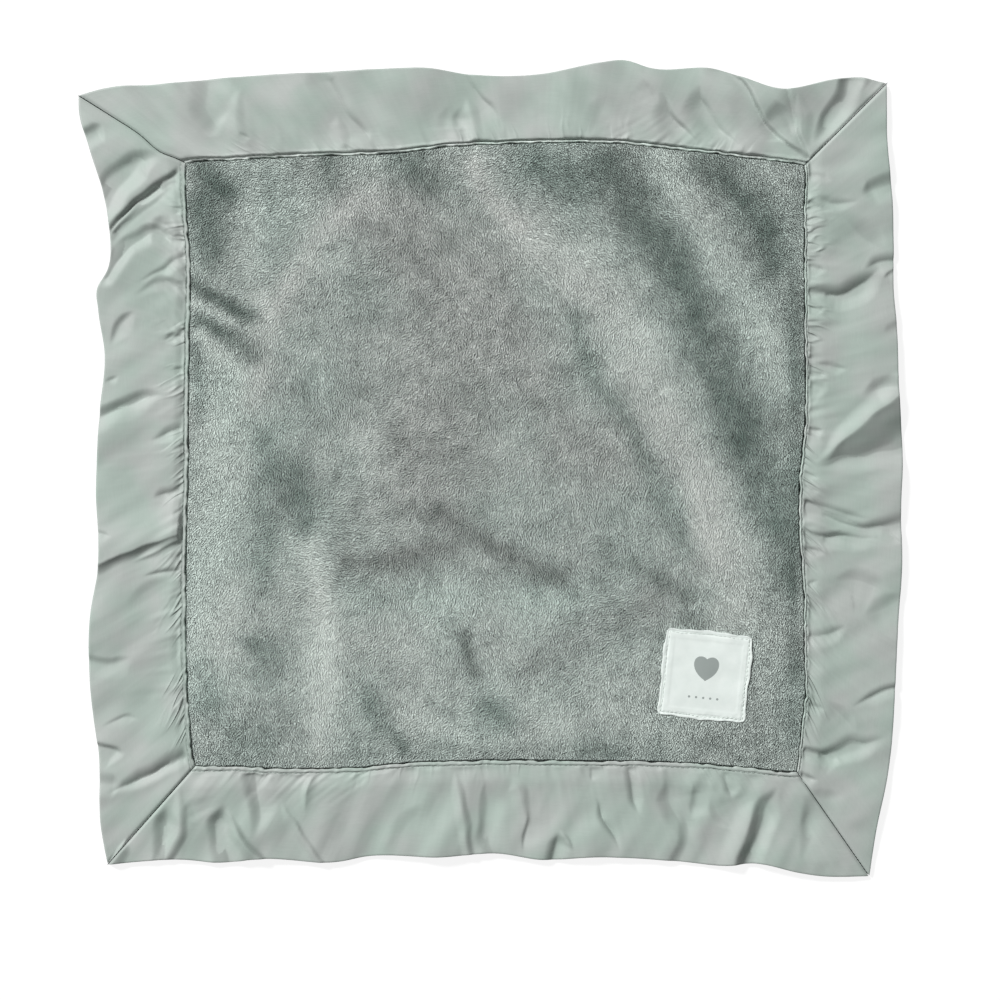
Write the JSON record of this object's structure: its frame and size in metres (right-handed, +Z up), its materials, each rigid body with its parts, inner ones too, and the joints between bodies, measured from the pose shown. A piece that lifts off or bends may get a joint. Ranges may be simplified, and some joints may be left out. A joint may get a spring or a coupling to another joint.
{
  "type": "comfort blanket lovey",
  "caption": "Small square baby comfort blanket: plush faces, a wide folded satin border with mitred corners, and a sewn-on label.",
  "frame": {"origin": "middle of the blanket's bounding box, on the table it lies on", "axes": "+X to the blanket's right and +Y to its top edge as seen from above with the label at the lower right, +Z up out of the front plush"},
  "size_m": [0.4208, 0.4159, 0.0101],
  "materials": {
    "satin": "polyester satin binding, soft sheen, pale grey-green",
    "plush": "short-pile polyester plush, matt, brushed nap, grey-green",
    "label_cloth": "woven ribbon label cloth, off-white, folded edges",
    "thread": "polyester sewing thread, grey-green"
  },
  "bodies": {
    "root": {"front_plush_panel": "plush", "back_plush_panel": "plush", "satin_border_top": "satin", "satin_border_right": "satin", "satin_border_bottom": "satin", "satin_border_left": "satin", "sewn_label": "label_cloth", "front_topstitch_top": "thread", "front_topstitch_right": "thread", "front_topstitch_bottom": "thread", "front_topstitch_left": "thread", "back_topstitch_top": "thread", "back_topstitch_right": "thread", "back_topstitch_bottom": "thread", "back_topstitch_left": "thread", "front_mitre_seam_top_left": "thread", "front_mitre_seam_top_right": "thread", "front_mitre_seam_bottom_right": "thread", "front_mitre_seam_bottom_left": "thread", "back_mitre_seam_top_left": "thread", "back_mitre_seam_top_right": "thread", "back_mitre_seam_bottom_right": "thread", "back_mitre_seam_bottom_left": "thread", "label_stitch": "thread"}
  },
  "joints": []
}
